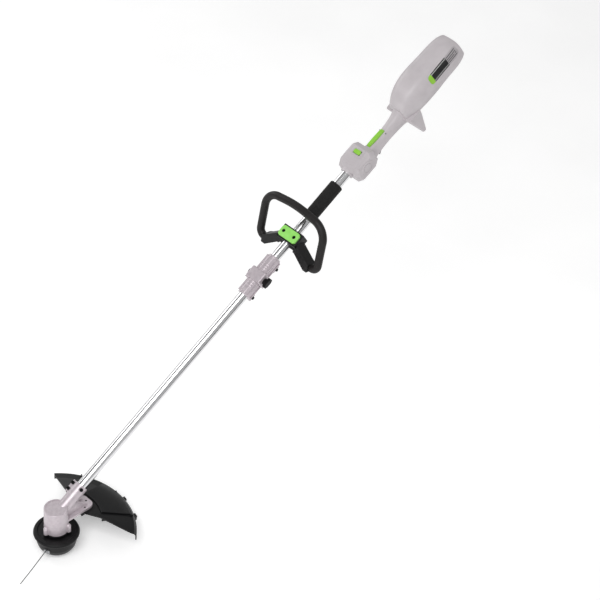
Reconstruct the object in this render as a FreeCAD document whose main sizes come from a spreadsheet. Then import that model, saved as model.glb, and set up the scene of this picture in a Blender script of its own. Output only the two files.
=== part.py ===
import FreeCAD, Part
import math
import os
import re
import Sketcher

# String trimmer in its working pose. +Z is up, the line head spins about Z, and the shaft
# rises towards +X in the XZ plane. The origin is the flat bottom of the bump knob.
# Two frames are used. The head frame is the part's own frame. The shaft frame starts where
# the shaft axis meets the spin axis: its X runs up the shaft, Y is across, Z is square to both.

V = FreeCAD.Vector
doc = FreeCAD.newDocument("string_trimmer")
dims = doc.addObject("Spreadsheet::Sheet", "dims")
kept = []

SIZES = [
    ("shaft_tilt", 32), ("axis_height", 108), ("running_gap", 0.05),
    # tubes and drive rods
    ("tube_od", 26), ("tube_wall", 1.5), ("tube_start", 50), ("rod_od", 7), ("rod_square", 4.9),
    ("lower_tube_end", 798), ("upper_tube_start", 800), ("upper_tube_end", 1141),
    ("bush_length", 22), ("bush_pitch", 170),
    # line head
    ("knob_radius", 22), ("knob_height", 13), ("knob_gap", 1.5),
    ("cup_radius", 50), ("cup_wall", 2.6), ("cup_floor", 9), ("cup_top", 46),
    ("flange_radius", 57), ("flange_top", 60), ("flange_depth", 10),
    ("spool_radius", 42.5), ("spool_core", 22), ("spool_bore", 17), ("spool_height", 28),
    ("spool_cheek", 3), ("spring_radius", 15.5), ("spring_wire", 2), ("head_hub_radius", 10.5),
    ("line_od", 2.4), ("line_height", 28), ("line_angle", 199), ("eyelet_radius", 4),
    # gear case
    ("drum_radius", 30), ("drum_bottom", 66), ("drum_top", 137), ("drum_wall", 6),
    ("base_plate", 4), ("base_lobe_radius", 7.5), ("base_lobe_circle", 32),
    ("spindle_radius", 6), ("spindle_nose", 5), ("spindle_collar", 8.5), ("spindle_top", 99),
    ("bearing_radius", 14), ("bearing_width", 8), ("bearing_space", 5),
    ("pinion_bearing_bore", 5), ("pinion_bearing_start", 21),
    ("gear_teeth", 19), ("pinion_teeth", 14), ("gear_module", 1.6), ("tooth_face", 5),
    ("tooth_share", 0.44), ("neck_radius", 17.5), ("neck_end", 97), ("clamp_slit", 2),
    ("bracket_width", 46), ("bracket_top", 98), ("bracket_bottom", 91), ("bracket_end", 104),
    # guard
    ("guard_radius", 199), ("guard_left_angle", 53), ("guard_right_angle", 46), ("guard_wall", 3),
    ("guard_skirt", 26), ("guard_rim_height", 66), ("guard_inner", 64), ("blade_angle", 16),
    ("blade_thickness", 1.6), ("blade_width", 72),
    # shaft coupler
    ("coupler_start", 720), ("coupler_length", 124), ("coupler_radius", 17), ("block_start", 763),
    ("block_length", 32), ("block_left", 25), ("block_right", 22), ("ear_length", 20),
    ("ear_drop", 22), ("knob_shaft_radius", 4), ("wing_radius", 14), ("button_radius", 7),
    ("button_stroke", 5),
    # loop handle
    ("handle_station", 904), ("handle_lean", 41), ("loop_od", 21), ("loop_half_width", 104),
    ("loop_top", 103), ("loop_foot", 37), ("loop_corner", 45), ("foot_corner", 18),
    ("loop_crown", 14), ("arm_depth", 28),
    ("bracket_depth", 38), ("saddle_top", 17.5), ("cover_height", 6), ("cover_half_length", 30),
    ("foot_face", 84), ("clamp_half_width", 25), ("clamp_drop", 21),
    ("sleeve_start", 986), ("sleeve_length", 103), ("sleeve_od", 36),
    # rear housing
    ("hub_middle", 1172), ("hub_drop", 6), ("hub_half_length", 39), ("hub_half_height", 32),
    ("hub_half_width", 34), ("hub_corner", 13), ("housing_wall", 2.8), ("grip_drop", 17),
    ("grip_half_width", 16), ("grip_half_height", 19), ("hood_start", 1334), ("hood_end", 1562),
    ("hood_half_width", 46), ("hood_half_height", 42), ("hood_rise", 20), ("bay_start", 1374),
    ("bay_end", 1546), ("bay_half_width", 36), ("bay_ceiling", 34), ("foot_drop", 88),
    ("disc_radius", 21.5), ("disc_depth", 3), ("badge_start", 1436), ("badge_length", 114),
    ("badge_height", 28), ("badge_depth", 2.5), ("badge_roll", 30), ("vent_count", 4),
    # motor and electrics
    ("stator_radius", 18), ("rotor_radius", 11.5), ("air_gap", 0.5), ("motor_start", 1158),
    ("stack_length", 30), ("motor_bearing_radius", 7), ("motor_bearing_width", 5),
    ("motor_shaft", 2.5), ("fan_radius", 14), ("fan_depth", 6),
    ("board_thickness", 1.6), ("plunger_radius", 6),
    # controls
    ("trigger_start", 1229), ("trigger_length", 32), ("trigger_width", 11), ("slot_gap", 0.6),
    ("lever_start", 1217), ("lever_length", 58), ("lever_width", 10),
    ("lever_height", 7), ("pin_radius", 1.5), ("power_length", 22), ("power_width", 12),
    ("latch_width", 22), ("latch_height", 16), ("latch_drop", 52),
    # fasteners
    ("screw_radius", 2), ("screw_head", 3.8), ("screw_head_height", 3), ("bolt_radius", 2.5),
    ("bolt_head", 4.4), ("bolt_head_height", 5), ("key_radius", 2),
]


def fill_sheet():
    for row, (name, value) in enumerate(SIZES, start=1):
        dims.set("A%d" % row, name)
        dims.set("B%d" % row, str(value))
        dims.setAlias("B%d" % row, name)
    doc.recompute()


def size(name):
    return float(dims.get(name))


def bind(item, settings):
    """Bind an object's properties to expressions written with the sheet's own words."""
    for prop, text in settings.items():
        item.setExpression(prop, re.sub(r"\b([a-z][a-z_]+)\b(?!\()", r"dims.\1", str(text)))


def head_frame():
    return FreeCAD.Placement()


def shaft_frame():
    turn = FreeCAD.Rotation(V(0, 1, 0), -size("shaft_tilt"))
    return FreeCAD.Placement(V(0, 0, size("axis_height")), turn)


def keep(item, label, frame):
    item.Label = label
    item.Placement = frame
    kept.append(item)
    return item


def plain(label, shape, frame):
    """A sub-part whose shape comes from Part's own functions."""
    item = doc.addObject("Part::Feature", label)
    item.Shape = shape
    return keep(item, label, frame)


# ---- PartDesign bodies ------------------------------------------------------------------

def plane(body, role):
    return [feature for feature in body.Origin.OriginFeatures if feature.Role == role][0]


def outline(body, role, points):
    """A closed polygon sketch; each corner's two coordinates are expressions."""
    sketch = body.newObject("Sketcher::SketchObject", "outline")
    sketch.AttachmentSupport = [(plane(body, role), "")]
    sketch.MapMode = "FlatFace"
    count = len(points)
    start = [V(50 * math.cos(2 * math.pi * i / count), 50 * math.sin(2 * math.pi * i / count), 0)
             for i in range(count)]
    for i in range(count):
        sketch.addGeometry(Part.LineSegment(start[i], start[(i + 1) % count]))
    for i in range(count):
        sketch.addConstraint(Sketcher.Constraint("Coincident", i, 2, (i + 1) % count, 1))
    for i, corner in enumerate(points):
        for kind, value, text in zip(("DistanceX", "DistanceY"), start[i], corner):
            number = sketch.addConstraint(Sketcher.Constraint(kind, -1, 1, i, 1, value))
            bind(sketch, {"Constraints[%d]" % number: text})
    return sketch


def turned(label, frame, axis, profile):
    """A body of revolution. The profile lists (along the axis, radius) pairs."""
    body = doc.addObject("PartDesign::Body", label)
    points = profile if axis == "X" else [(radius, along) for along, radius in profile]
    sketch = outline(body, "XZ_Plane", points)
    spin = body.newObject("PartDesign::Revolution", "spin")
    spin.Profile = sketch
    spin.ReferenceAxis = (sketch, ["H_Axis" if axis == "X" else "V_Axis"])
    spin.Angle = 360
    return keep(body, label, frame)


# ---- Part primitives --------------------------------------------------------------------

TURNS = {"z": FreeCAD.Rotation(), "-z": FreeCAD.Rotation(V(1, 0, 0), 180),
         "x": FreeCAD.Rotation(V(0, 1, 0), 90), "y": FreeCAD.Rotation(V(1, 0, 0), -90),
         "-y": FreeCAD.Rotation(V(1, 0, 0), 90), "-x": FreeCAD.Rotation(V(0, 1, 0), -90)}


def put(item, at, turn="z"):
    item.Placement = FreeCAD.Placement(V(), TURNS[turn])
    for letter, text in zip("xyz", at):
        bind(item, {"Placement.Base." + letter: text})
    return item


def rod(radius, length, at, turn="z"):
    item = doc.addObject("Part::Cylinder", "rod")
    bind(item, {"Radius": radius, "Height": length})
    return put(item, at, turn)


def block(length, width, height, at):
    item = doc.addObject("Part::Box", "block")
    bind(item, {"Length": length, "Width": width, "Height": height})
    return put(item, at)


def joined(items):
    item = doc.addObject("Part::MultiFuse", "joined")
    item.Shapes = items
    item.Refine = True
    return item


def less(base, tools):
    item = doc.addObject("Part::Cut", "less")
    item.Base = base
    item.Tool = tools[0] if len(tools) == 1 else joined(tools)
    item.Refine = True
    return item


def group(items):
    item = doc.addObject("Part::Compound", "group")
    item.Links = items
    return item


def screw(at, turn, head_radius, head_height, radius, length):
    """A cap screw with a round key socket; its head's underside is at the given point."""
    sign, letter = (-1, turn[1]) if turn[0] == "-" else (1, turn)
    back = "xyz".index(letter)
    outer = list(at)
    outer[back] = "%s - %d * (%s)" % (at[back], sign, head_height)
    head = rod(head_radius, head_height, outer, turn)
    shank = rod(radius, length, at, turn)
    socket = rod("key_radius", "%s * 0.6" % head_height, outer, turn)
    return less(joined([head, shank]), [socket])


# ---- shape helpers ----------------------------------------------------------------------

def prism(points, thickness, frame="XZ"):
    """An extruded polygon, centred on its plane. XZ points run across Y, YZ points across X."""
    if frame == "XZ":
        corners = [V(a, -thickness / 2, b) for a, b in points]
        way = V(0, thickness, 0)
    else:
        corners = [V(-thickness / 2, a, b) for a, b in points]
        way = V(thickness, 0, 0)
    return Part.Face(Part.makePolygon(corners + corners[:1])).extrude(way)


def drum(radius, length, at, way):
    return Part.makeCylinder(radius, length, V(*at), V(*way))


def box(low, high):
    return Part.makeBox(high[0] - low[0], high[1] - low[1], high[2] - low[2], V(*low))


def rounded_section(shoulder, station, half_width, half_height, rise):
    """A smooth closed curve across the shaft; the shoulder share narrows its two top corners."""
    top = shoulder * half_width
    poles = [V(station, y, rise + up * half_height)
             for y, up in ((half_width, 0), (top, 1), (0, 1), (-top, 1), (-half_width, 0),
                           (-half_width, -1), (0, -1), (half_width, -1))]
    curve = Part.BSplineCurve()
    curve.buildFromPoles(poles, True, 3)
    return Part.Wire(curve.toShape())


def loft(shoulder, sections):
    return Part.makeLoft([rounded_section(shoulder, *section) for section in sections], True, False)


def rounded_path(points, radii):
    """Straight runs joined by tangent arcs, one radius for each inner point."""
    edges = []
    last = points[0]
    for i, radius in enumerate(radii, start=1):
        back = (points[i - 1] - points[i]).normalize()
        on = (points[i + 1] - points[i]).normalize()
        half = (math.pi - back.getAngle(on)) / 2
        trim = radius * math.tan(half)
        first = points[i] + back * trim
        final = points[i] + on * trim
        middle = points[i] + (back + on).normalize() * (radius / math.cos(half) - radius)
        edges.append(Part.LineSegment(last, first).toShape())
        edges.append(Part.Arc(first, middle, final).toShape())
        last = final
    edges.append(Part.LineSegment(last, points[-1]).toShape())
    return Part.Wire(edges)


def tube_along(path, radius):
    start = path.Edges[0]
    circle = Part.Wire(Part.makeCircle(radius, start.Vertexes[0].Point, start.tangentAt(0)))
    return path.makePipeShell([circle], True, True)


# ---- line head --------------------------------------------------------------------------

def bump_knob():
    turned("bump_knob", head_frame(), "Z", [
        ("0", "0"), ("0", "knob_radius * 0.72"), ("knob_height * 0.1", "knob_radius * 0.9"),
        ("knob_height * 0.35", "knob_radius"), ("knob_height", "knob_radius"),
        ("knob_height", "0")])


def spool():
    top = "knob_height + spool_height"
    turned("spool", head_frame(), "Z", [
        ("knob_height", "0"), ("knob_height", "spool_radius"),
        ("knob_height + spool_cheek", "spool_radius"), ("knob_height + spool_cheek", "spool_core"),
        (top + " - spool_cheek", "spool_core"), (top + " - spool_cheek", "spool_radius"),
        (top, "spool_radius"), (top, "spool_bore"),
        ("knob_height + spool_cheek * 2", "spool_bore"), ("knob_height + spool_cheek * 2", "0")])


def wound_line():
    low = "knob_height + spool_cheek"
    high = "knob_height + spool_height - spool_cheek"
    turned("wound_line", head_frame(), "Z", [
        (low, "spool_core"), (low, "spool_radius - 5"), (high, "spool_radius - 5"),
        (high, "spool_core")])


def spool_spring():
    low = "knob_height + spool_cheek * 2"
    inner = "spring_radius - spring_wire"
    high = "flange_top - 6"
    turned("spool_spring", head_frame(), "Z", [
        (low, inner), (low, "spring_radius"), (high, "spring_radius"), (high, inner)])


def head_cup():
    """The cup's wall and floor, open in the middle for the knob, with two eyelet holes."""
    hole = "knob_radius + knob_gap"
    body = turned("cup_turning", head_frame(), "Z", [
        ("cup_floor", hole), ("cup_floor", "cup_radius * 0.78"),
        ("cup_floor + 2.5", "cup_radius * 0.87"), ("cup_floor + 9", "cup_radius * 0.95"),
        ("cup_floor + 18", "cup_radius"), ("cup_top", "cup_radius"),
        ("cup_top", "cup_radius - cup_wall"), ("cup_floor + 18", "cup_radius - cup_wall"),
        ("cup_floor + 4", "cup_radius * 0.93 - cup_wall"),
        ("cup_floor + cup_wall", "cup_radius * 0.86 - cup_wall"), ("cup_floor + cup_wall", hole)])
    kept.remove(body)
    keep(less(body, [eyelet_bore()]), "head_cup", head_frame())


def eyelet_bore():
    """A rod through the cup along the line's way out, at the eyelets' height."""
    item = doc.addObject("Part::Cylinder", "eyelet_bore")
    bind(item, {"Radius": "eyelet_radius", "Height": "cup_radius * 3"})
    turn = FreeCAD.Rotation(V(0, 0, 1), size("line_angle"))
    start = turn.multVec(V(-1.5 * size("cup_radius"), 0, 0)) + V(0, 0, size("line_height"))
    item.Placement = FreeCAD.Placement(start, turn.multiply(TURNS["x"]))
    return item


def head_cover():
    turned("head_cover", head_frame(), "Z", [
        ("34", "spindle_nose"), ("34", "head_hub_radius"),
        ("flange_top - 6", "head_hub_radius"), ("flange_top - 6", "cup_radius - cup_wall"),
        ("cup_top", "cup_radius - cup_wall"), ("cup_top", "cup_radius + 4"),
        ("cup_top + 3", "cup_radius + 4"), ("flange_top - flange_depth", "flange_radius - 3"),
        ("flange_top - flange_depth + 3", "flange_radius"), ("flange_top - 3", "flange_radius"),
        ("flange_top", "flange_radius - 2.5"), ("flange_top", "flange_radius - 9"),
        ("flange_top - 2.5", "flange_radius - 11"), ("flange_top - 2.5", "spindle_nose")])


def line_eyelets():
    rings = []
    for turn in (0, 180):
        way = FreeCAD.Rotation(V(0, 0, 1), size("line_angle") + turn).multVec(V(1, 0, 0))
        at = V(0, 0, size("line_height")) + way * (size("cup_radius") - size("cup_wall") - 1)
        lip = V(0, 0, size("line_height")) + way * (size("cup_radius") + 0.2)
        barrel = Part.makeCylinder(size("eyelet_radius"), size("cup_wall") + 2, at, way)
        flare = Part.makeCylinder(size("eyelet_radius") + 1.5, 1.6, lip, way)
        hole = Part.makeCylinder(size("line_od") / 2 + size("running_gap"), 20, at - way * 2, way)
        rings.append(barrel.fuse(flare).cut(hole))
    plain("line_eyelets", Part.makeCompound(rings), head_frame())


LINE_ROUTE = [(49, 0, 28), (84, 1.2, 27.2), (127, 2.6, 25.2), (168, 1.6, 21.8)]


def line_end(label, turn):
    """A straight stiff length of cutting line, leaving its eyelet and drooping slightly."""
    rotation = FreeCAD.Rotation(V(0, 0, 1), size("line_angle") + turn)
    points = [rotation.multVec(V(*point)) for point in LINE_ROUTE]
    radii = []
    for i in range(1, len(points) - 1):
        back = points[i - 1] - points[i]
        on = points[i + 1] - points[i]
        half = (math.pi - back.getAngle(on)) / 2
        radii.append(0.45 * min(back.Length, on.Length) / math.tan(half))
    path = rounded_path(points, radii)
    shape = tube_along(path, size("line_od") / 2)
    expected = path.Length * math.pi * size("line_od") ** 2 / 4
    print(label, "radii", [round(radius) for radius in radii], "length", round(path.Length, 1),
          "volume share", round(shape.Volume / expected, 4))
    plain(label, shape, head_frame())


# ---- gear case --------------------------------------------------------------------------

def cone_angles():
    """Pitch angles of pinion and gear for shafts that cross at 90 degrees plus the tilt."""
    ratio = size("gear_teeth") / size("pinion_teeth")
    crossing = math.radians(90 + size("shaft_tilt"))
    pinion = math.atan2(math.sin(crossing), ratio + math.cos(crossing))
    return pinion, crossing - pinion


def bevel_teeth(count, pitch_angle, phase):
    """Straight bevel teeth about +Z with the cone's apex at the origin and the body below."""
    radius = size("gear_module") * count / 2
    reach = radius / math.sin(pitch_angle)
    tip = 0.75 * size("gear_module")
    root = 1.15 * size("gear_module")
    tan_pressure = math.tan(math.radians(20))
    width = math.pi * size("gear_module") * size("tooth_share") / 2
    radial = V(math.sin(pitch_angle), 0, -math.cos(pitch_angle))
    normal = V(math.cos(pitch_angle), 0, math.sin(pitch_angle))
    outer = []
    for height, half in ((-root, width + root * tan_pressure), (0, width),
                         (tip, width - tip * tan_pressure), (tip, tip * tan_pressure - width),
                         (0, -width), (-root, -width - root * tan_pressure)):
        outer.append(radial * reach + normal * height + V(0, half, 0))
    share = (reach - size("tooth_face")) / reach
    wires = [Part.makePolygon(points + points[:1])
             for points in (outer, [point * share for point in outer])]
    tooth = Part.makeLoft(wires, True, True)
    teeth = []
    for i in range(count):
        copy = tooth.copy()
        copy.rotate(V(), V(0, 0, 1), phase + 360.0 * i / count)
        teeth.append(copy)
    root_line = [radial * length * reach - normal * root * length * 0.97 for length in (1, share)]
    (big, small) = root_line
    profile = [V(0, 0, small.z), V(small.x, 0, small.z), V(big.x, 0, big.z),
               V(big.x - 3, 0, big.z - 3.5), V(0, 0, big.z - 3.5)]
    blank = Part.Face(Part.makePolygon(profile + profile[:1])).revolve(V(), V(0, 0, 1), 360)
    return blank.multiFuse(teeth), big.z - 3.5


def bevel_gear():
    """The output gear, below the crossing point; it is keyed to the spindle."""
    count = int(size("gear_teeth"))
    shape, back = bevel_teeth(count, cone_angles()[1], 0)
    shape.translate(V(0, 0, size("axis_height")))
    seat = size("drum_bottom") + 2 * size("bearing_width") + size("bearing_space") + 1
    hub = Part.makeCylinder(9, size("axis_height") + back - seat, V(0, 0, seat))
    bore = Part.makeCylinder(size("spindle_radius"), 60, V(0, 0, seat - 5))
    plain("bevel_gear", shape.fuse(hub).cut(bore), head_frame())


def bevel_pinion():
    """The pinion, cut with its own stub shaft and a square socket for the drive rod."""
    count = int(size("pinion_teeth"))
    shape, back = bevel_teeth(count, cone_angles()[0], 180.0 / count)
    shape.rotate(V(), V(1, 0, 0), 180)
    shape.rotate(V(), V(0, 1, 0), 90)
    start = size("pinion_bearing_start")
    end = start + 2 * size("bearing_width") + 2
    neck = drum(7, start - abs(back), (abs(back), 0, 0), (1, 0, 0))
    stub = drum(size("pinion_bearing_bore"), end - start + 8, (start, 0, 0), (1, 0, 0))
    half = size("rod_square") / 2 + size("running_gap")
    socket = box((start + 4, -half, -half), (end + 20, half, half))
    plain("bevel_pinion", shape.fuse([neck, stub]).cut(socket), shaft_frame())


def output_spindle():
    collar = "drum_bottom - base_plate - 3.5"
    turned("output_spindle", head_frame(), "Z", [
        ("36", "0"), ("36", "spindle_nose"), (collar, "spindle_nose"), (collar, "spindle_collar"),
        ("drum_bottom + 1", "spindle_collar"), ("drum_bottom + 1", "spindle_radius"),
        ("spindle_top", "spindle_radius"), ("spindle_top", "0")])


def bearing(inner, outer, at, turn):
    return less(rod(outer, "bearing_width", at, turn), [rod(inner, "bearing_width", at, turn)])


def bearings():
    spindle = [bearing("spindle_radius", "bearing_radius", ("0", "0", "drum_bottom + 1" + more), "z")
               for more in ("", " + bearing_width + bearing_space")]
    keep(group(spindle), "spindle_bearings", head_frame())
    pinion = [bearing("pinion_bearing_bore", "tube_od / 2", ("pinion_bearing_start" + more, "0", "0"),
                      "x") for more in ("", " + bearing_width + 2")]
    keep(group(pinion), "pinion_bearings", shaft_frame())
    start = "pinion_bearing_start + 2 * bearing_width + 2.4"
    turned("bearing_circlip", shaft_frame(), "X", [
        (start, "tube_od / 2 - 2"), (start, "tube_od / 2 + 1"),
        (start + " + 1.2", "tube_od / 2 + 1"), (start + " + 1.2", "tube_od / 2 - 2")])


def lobe_angles():
    return (60, 180, 300)


def case_tools(frame):
    """The hollows of the gear case: gear chamber, bearing seats, shaft socket and slit."""
    low = size("drum_bottom")
    seat = low + 2 * size("bearing_width") + size("bearing_space") + 1
    chamber = Part.makeCylinder(size("drum_radius") - size("drum_wall"),
                                size("drum_top") - size("drum_wall") - seat, V(0, 0, seat))
    bore = Part.makeCylinder(size("bearing_radius"), seat - low + 2, V(0, 0, low - 1))
    neck = drum(size("tube_od") / 2, size("neck_end") + 2, (6, 0, 0), (1, 0, 0))
    start = size("pinion_bearing_start") + 2 * size("bearing_width") + 2.4
    groove = drum(size("tube_od") / 2 + 1, 1.2, (start, 0, 0), (1, 0, 0))
    slit = box((size("tube_start") + 12, 0, -size("clamp_slit") / 2),
               (size("neck_end") + 2, 40, size("clamp_slit") / 2))
    tools = [neck, groove, slit]
    for station in clamp_stations():
        tools.append(drum(size("bolt_radius"), 60, (station, clamp_offset(), -30), (0, 0, 1)))
        tools.append(drum(size("bolt_head") + 0.4, 20, (station, clamp_offset(), 9), (0, 0, 1)))
    way = locating_way()
    tools.append(drum(size("bolt_radius"), 20, (locating_station(), way.y * 11, way.z * 11),
                      tuple(way)))
    placed = [chamber, bore]
    for tool in tools:
        tool.Placement = frame.multiply(tool.Placement)
        placed.append(tool)
    return placed


def clamp_stations():
    return (size("neck_end") - 26, size("neck_end") - 8)


def clamp_offset():
    return size("tube_od") / 2 + size("bolt_radius") + 2.5


def locating_station():
    return size("neck_end") - 9


def locating_way():
    turn = math.radians(50)
    return V(0, -math.sin(turn), math.cos(turn))


def gear_housing():
    """The die-cast case: upright drum, sloping neck with clamp lug, screw lobes, guard bracket."""
    frame = shaft_frame()
    low, top = size("drum_bottom"), size("drum_top")
    radius = size("drum_radius")
    body = Part.makeCone(radius + 1, radius, top - low, V(0, 0, low))
    body = body.makeFillet(2, [body.Edges[0]]) if len(body.Edges[0].Vertexes) == 1 else body
    recess = Part.makeCylinder(radius - 4, 1.5, V(0, 0, top - 1.5))
    body = body.cut(recess)
    neck = drum(size("neck_radius"), size("neck_end") - 12, (12, 0, 0), (1, 0, 0))
    reach = clamp_offset() + size("bolt_radius") + 4
    lug = box((size("neck_end") - 35, 0, -9), (size("neck_end"), reach, 9))
    lug = lug.makeFillet(3, [edge for edge in lug.Edges if edge.BoundBox.XLength > 30])
    way = locating_way()
    boss = drum(6, size("neck_radius") + 2, (locating_station(), 0, 0), tuple(way))
    rib = prism([(8, -size("neck_radius") + 4), (size("neck_end") - 20, -size("neck_radius") + 3),
                 (60, -size("neck_radius") - 10), (14, -size("neck_radius") - 16)], 9)
    pieces = []
    for item in (neck, lug, boss, rib):
        item.Placement = frame.multiply(item.Placement)
        pieces.append(item)
    for angle in lobe_angles():
        spot = FreeCAD.Rotation(V(0, 0, 1), angle).multVec(V(size("base_lobe_circle"), 0, 0))
        pieces.append(Part.makeCylinder(size("base_lobe_radius") - 1, 17, spot + V(0, 0, low)))
        pieces.append(Part.makeSphere(size("base_lobe_radius") - 1, spot + V(0, 0, low + 17)))
    half = size("bracket_width") / 2
    bracket = box((20, -half, size("bracket_bottom")), (size("bracket_end"), half,
                                                      size("bracket_top")))
    corners = [edge for edge in bracket.Edges if edge.BoundBox.ZLength > 5
               and edge.CenterOfMass.x > 50]
    pieces.append(bracket.makeFillet(14, corners))
    for side in (-1, 1):
        gusset = prism([(18, size("bracket_top") - 1), (size("bracket_end") - 12,
                       size("bracket_top") - 1), (60, size("bracket_top") + 28),
                       (18, size("bracket_top") + 30)], 4)
        gusset.translate(V(0, side * 10, 0))
        pieces.append(gusset)
    body = body.multiFuse(pieces)
    for tool in case_tools(frame) + bracket_holes(size("bolt_radius"), size("bracket_bottom") - 1, 12):
        body = body.cut(tool)
    for angle in lobe_angles():
        spot = FreeCAD.Rotation(V(0, 0, 1), angle).multVec(V(size("base_lobe_circle"), 0, 0))
        body = body.cut(Part.makeCylinder(size("screw_radius"), 13, spot + V(0, 0, low - 1)))
    plain("gear_housing", body, head_frame())


def bracket_spots():
    half = size("bracket_width") / 2
    return (V(size("bracket_end") - 9, 0, 0), V(size("bracket_end") - 26, half - 7, 0),
            V(size("bracket_end") - 26, 7 - half, 0))


def bracket_holes(radius, low, height):
    return [Part.makeCylinder(radius, height, spot + V(0, 0, low)) for spot in bracket_spots()]


def housing_base():
    """The black lobed plate that closes the gear case and shields the spindle seal."""
    low = size("drum_bottom") - size("base_plate")
    disc = Part.makeCylinder(size("drum_radius") + 3, size("base_plate"), V(0, 0, low))
    holes = [Part.makeCylinder(size("spindle_collar") + 0.8, 20, V(0, 0, low - 5))]
    lobes = []
    for angle in lobe_angles():
        spot = FreeCAD.Rotation(V(0, 0, 1), angle).multVec(V(size("base_lobe_circle"), 0, 0))
        lobes.append(Part.makeCylinder(size("base_lobe_radius"), size("base_plate"),
                                       spot + V(0, 0, low)))
        holes.append(Part.makeCylinder(size("screw_radius"), 20, spot + V(0, 0, low - 5)))
    plain("housing_base", disc.multiFuse(lobes).cut(Part.makeCompound(holes)), head_frame())


def case_screws():
    screws = []
    for angle in lobe_angles():
        turn = math.radians(angle)
        spot = ("base_lobe_circle * %.6f" % math.cos(turn), "base_lobe_circle * %.6f" % math.sin(turn),
                "drum_bottom - base_plate")
        screws.append(less(rod("screw_radius", "base_plate + 8", spot),
                           [rod("screw_radius * 0.55", "1.5", spot)]))
    keep(group(screws), "case_screws", head_frame())
    clamp = [screw(("neck_end - %d" % back, "tube_od / 2 + bolt_radius + 2.5", "9"), "-z",
                   "bolt_head", "bolt_head_height", "bolt_radius", "17") for back in (26, 8)]
    keep(group(clamp), "neck_clamp_screws", shaft_frame())
    way = locating_way()
    start = size("neck_radius") + 2
    at = V(locating_station(), 0, 0)
    head = Part.makeCylinder(size("bolt_head"), size("bolt_head_height"), at + way * start, way)
    shank = Part.makeCylinder(size("bolt_radius"), start - size("tube_od") / 2,
                              at + way * size("tube_od") * 0.5, way)
    key = Part.makeCylinder(size("key_radius"), 3, at + way * (start + 2), way)
    plain("neck_locating_screw", head.fuse(shank).cut(key), shaft_frame())
    guard = [screw((str(spot.x), str(spot.y), "bracket_bottom - guard_wall - 1"), "z", "bolt_head",
                   "screw_head_height", "bolt_radius", "10") for spot in bracket_spots()]
    keep(group(guard), "guard_screws", head_frame())


# ---- guard ------------------------------------------------------------------------------

def guard_profile():
    """Half section of the fan: mounting pad, sloping web, shoulder and rim skirt."""
    top = size("bracket_bottom")
    wall = size("guard_wall")
    rim = size("guard_rim_height")
    outer = size("guard_radius")
    inner = size("guard_inner")
    low = rim - size("guard_skirt")
    return [(inner, top), (size("bracket_end") + 6, top), (outer - 28, rim + 3), (outer - 6, rim - 3),
            (outer, rim - 10), (outer, low), (outer - wall, low), (outer - wall, rim - 11),
            (outer - 7, rim - 3 - wall), (outer - 28, rim + 3 - wall),
            (size("bracket_end") + 5, top - wall - 1), (inner, top - wall - 1)]


def guard():
    """The fan-shaped guard; its two side edges run from the pad out to the rim's tips."""
    left, right = size("guard_left_angle"), size("guard_right_angle")
    points = [V(a, 0, b) for a, b in guard_profile()]
    face = Part.Face(Part.makePolygon(points + points[:1]))
    face.rotate(V(), V(0, 0, 1), -right)
    shell = face.revolve(V(), V(0, 0, 1), left + right)
    pad = size("bracket_width") / 2 + 4
    reach = size("guard_radius")
    for side, angle in ((1, left), (-1, right)):
        turn = math.radians(angle)
        flank = [V(0, side * pad, 0), V(size("guard_inner") + 6, side * pad, 0),
                 V(reach * math.cos(turn) - 4, side * reach * math.sin(turn), 0),
                 V(reach * 0.4, side * reach * 1.2, 0), V(0, side * reach * 1.2, 0)]
        shell = shell.cut(Part.Face(Part.makePolygon(flank + flank[:1])).extrude(V(0, 0, 200)))
    ribs = []
    low = size("guard_rim_height") - 4
    for turn in (-28, 0, 32):
        rib = box((size("bracket_end") + 10, -1.2, low), (reach - 5, 1.2, low + 5))
        rib.rotate(V(), V(0, 0, 1), turn)
        ribs.append(rib)
    shell = shell.multiFuse(ribs + blade_bosses())
    shell = shell.cut(Part.makeCompound(bracket_holes(size("bolt_radius"), 40, 60) + blade_holes()))
    plain("guard", shell, head_frame())


def in_blade_frame(shape):
    """The blade sits on the right half of the rim."""
    shape.rotate(V(), V(0, 0, 1), -size("blade_angle"))
    return shape


def blade_screw_offsets():
    pitch = size("blade_width") * 0.89
    return (-pitch / 2, pitch / 2)


def blade_bosses():
    """Two raised bosses on the rim, which the line-cutter blade's screws go into."""
    low = size("guard_rim_height") - size("guard_skirt")
    return [in_blade_frame(box((size("guard_radius") - 7, y - 5, low),
                               (size("guard_radius") + 2.5, y + 5, low + 15)))
            for y in blade_screw_offsets()]


def blade_holes():
    low = size("guard_rim_height") - size("guard_skirt") + 8
    return [in_blade_frame(drum(size("screw_radius"), 30, (size("guard_radius") - 15, y, low),
                                (1, 0, 0))) for y in blade_screw_offsets()]


def cutter_blade():
    """An L of sheet steel inside the skirt, with its sharp edge across the line's path."""
    low = size("guard_rim_height") - size("guard_skirt")
    outer = size("guard_radius") - 7.1
    sheet = size("blade_thickness")
    leg = box((outer - sheet, -size("blade_width") / 2, low), (outer, size("blade_width") / 2, low + 16))
    foot = box((outer - 13, -size("blade_width") / 2, low), (outer, 12 - size("blade_width") / 2,
                                                           low + sheet))
    blade = leg.fuse(foot)
    blade = in_blade_frame(blade).cut(Part.makeCompound(blade_holes()))
    plain("line_cutter_blade", blade, head_frame())
    screws = []
    reach = size("guard_radius")
    for y in blade_screw_offsets():
        head = drum(size("screw_head"), 2, (reach + 2.5, y, low + 8), (1, 0, 0))
        shank = drum(size("screw_radius"), 12, (reach - 9.5, y, low + 8), (1, 0, 0))
        key = drum(1.2, 1.5, (reach + 3.5, y, low + 8), (1, 0, 0))
        screws.append(in_blade_frame(head.fuse(shank).cut(key)))
    plain("blade_screws", Part.makeCompound(screws), head_frame())


# ---- tubes and drive line ---------------------------------------------------------------

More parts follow.
